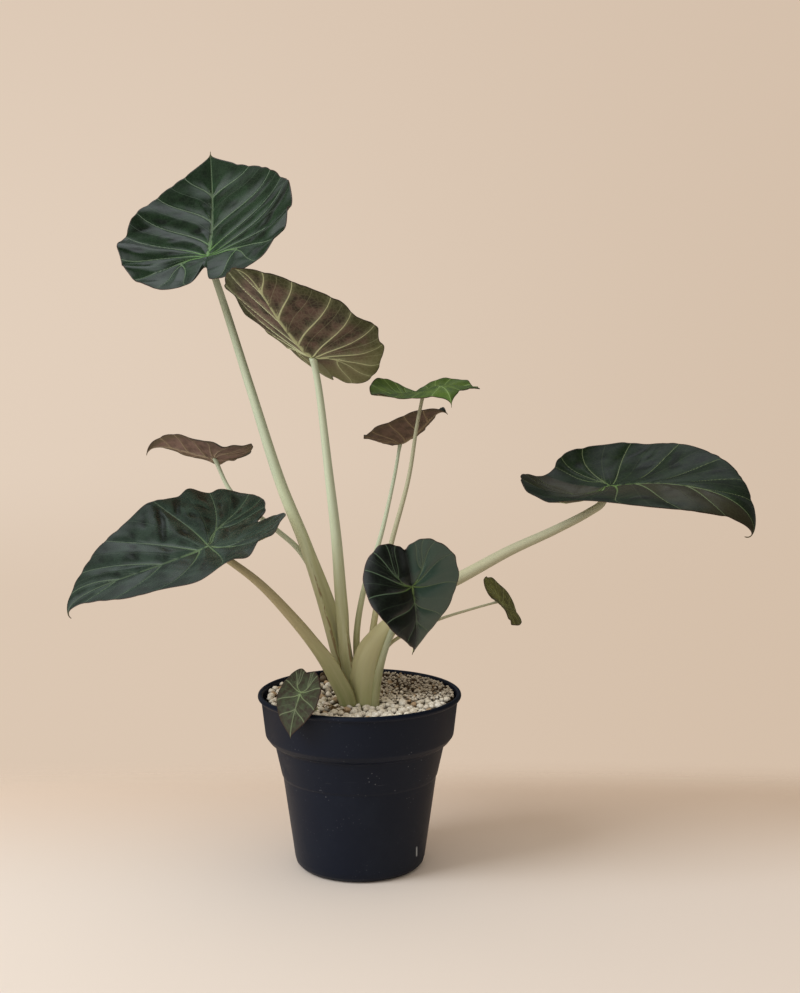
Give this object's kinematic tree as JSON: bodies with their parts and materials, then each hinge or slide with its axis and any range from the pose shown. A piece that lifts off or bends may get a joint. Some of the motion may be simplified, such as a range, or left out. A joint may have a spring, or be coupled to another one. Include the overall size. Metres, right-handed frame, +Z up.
{
  "type": "potted regal shields alocasia",
  "caption": "House plant with broad shield-shaped leaves on tall sheathed petioles, in a tapered plastic nursery pot topped with pumice.",
  "frame": {"origin": "centre of the pot's flat underside", "axes": "+Z up along the pot's axis, -Y to the front of the plant, +X to the large leaf on the right"},
  "size_m": [0.6115, 0.2904, 0.677],
  "materials": {
    "leaf_blade": "dark green upper side with a soft sheen and pale veins, brown-purple under side",
    "leaf_petiole": "smooth pale olive stalk, darker and duller in the sheath",
    "pot_plastic": "thin black injection-moulded plastic, satin, lightly scuffed and dusty",
    "corm": "fibrous brown stem base",
    "potting_mix": "damp crumbly bark and peat mix",
    "pumice": "dry off-white grains with dark gaps between them"
  },
  "bodies": {
    "root": {"blade_low_left": "leaf_blade", "petiole_low_left": "leaf_petiole", "blade_right": "leaf_blade", "petiole_right": "leaf_petiole", "blade_low_front": "leaf_blade", "petiole_low_front": "leaf_petiole", "blade_high_middle": "leaf_blade", "petiole_high_middle": "leaf_petiole", "blade_high_left": "leaf_blade", "petiole_high_left": "leaf_petiole", "blade_small_right": "leaf_blade", "petiole_small_right": "leaf_petiole", "blade_small_middle_front": "leaf_blade", "petiole_small_middle_front": "leaf_petiole", "blade_small_middle_back": "leaf_blade", "petiole_small_middle_back": "leaf_petiole", "blade_small_left": "leaf_blade", "petiole_small_left": "leaf_petiole", "blade_over_rim": "leaf_blade", "petiole_over_rim": "leaf_petiole", "pot": "pot_plastic", "corm": "corm", "potting_mix": "potting_mix", "pumice": "pumice"}
  },
  "joints": []
}
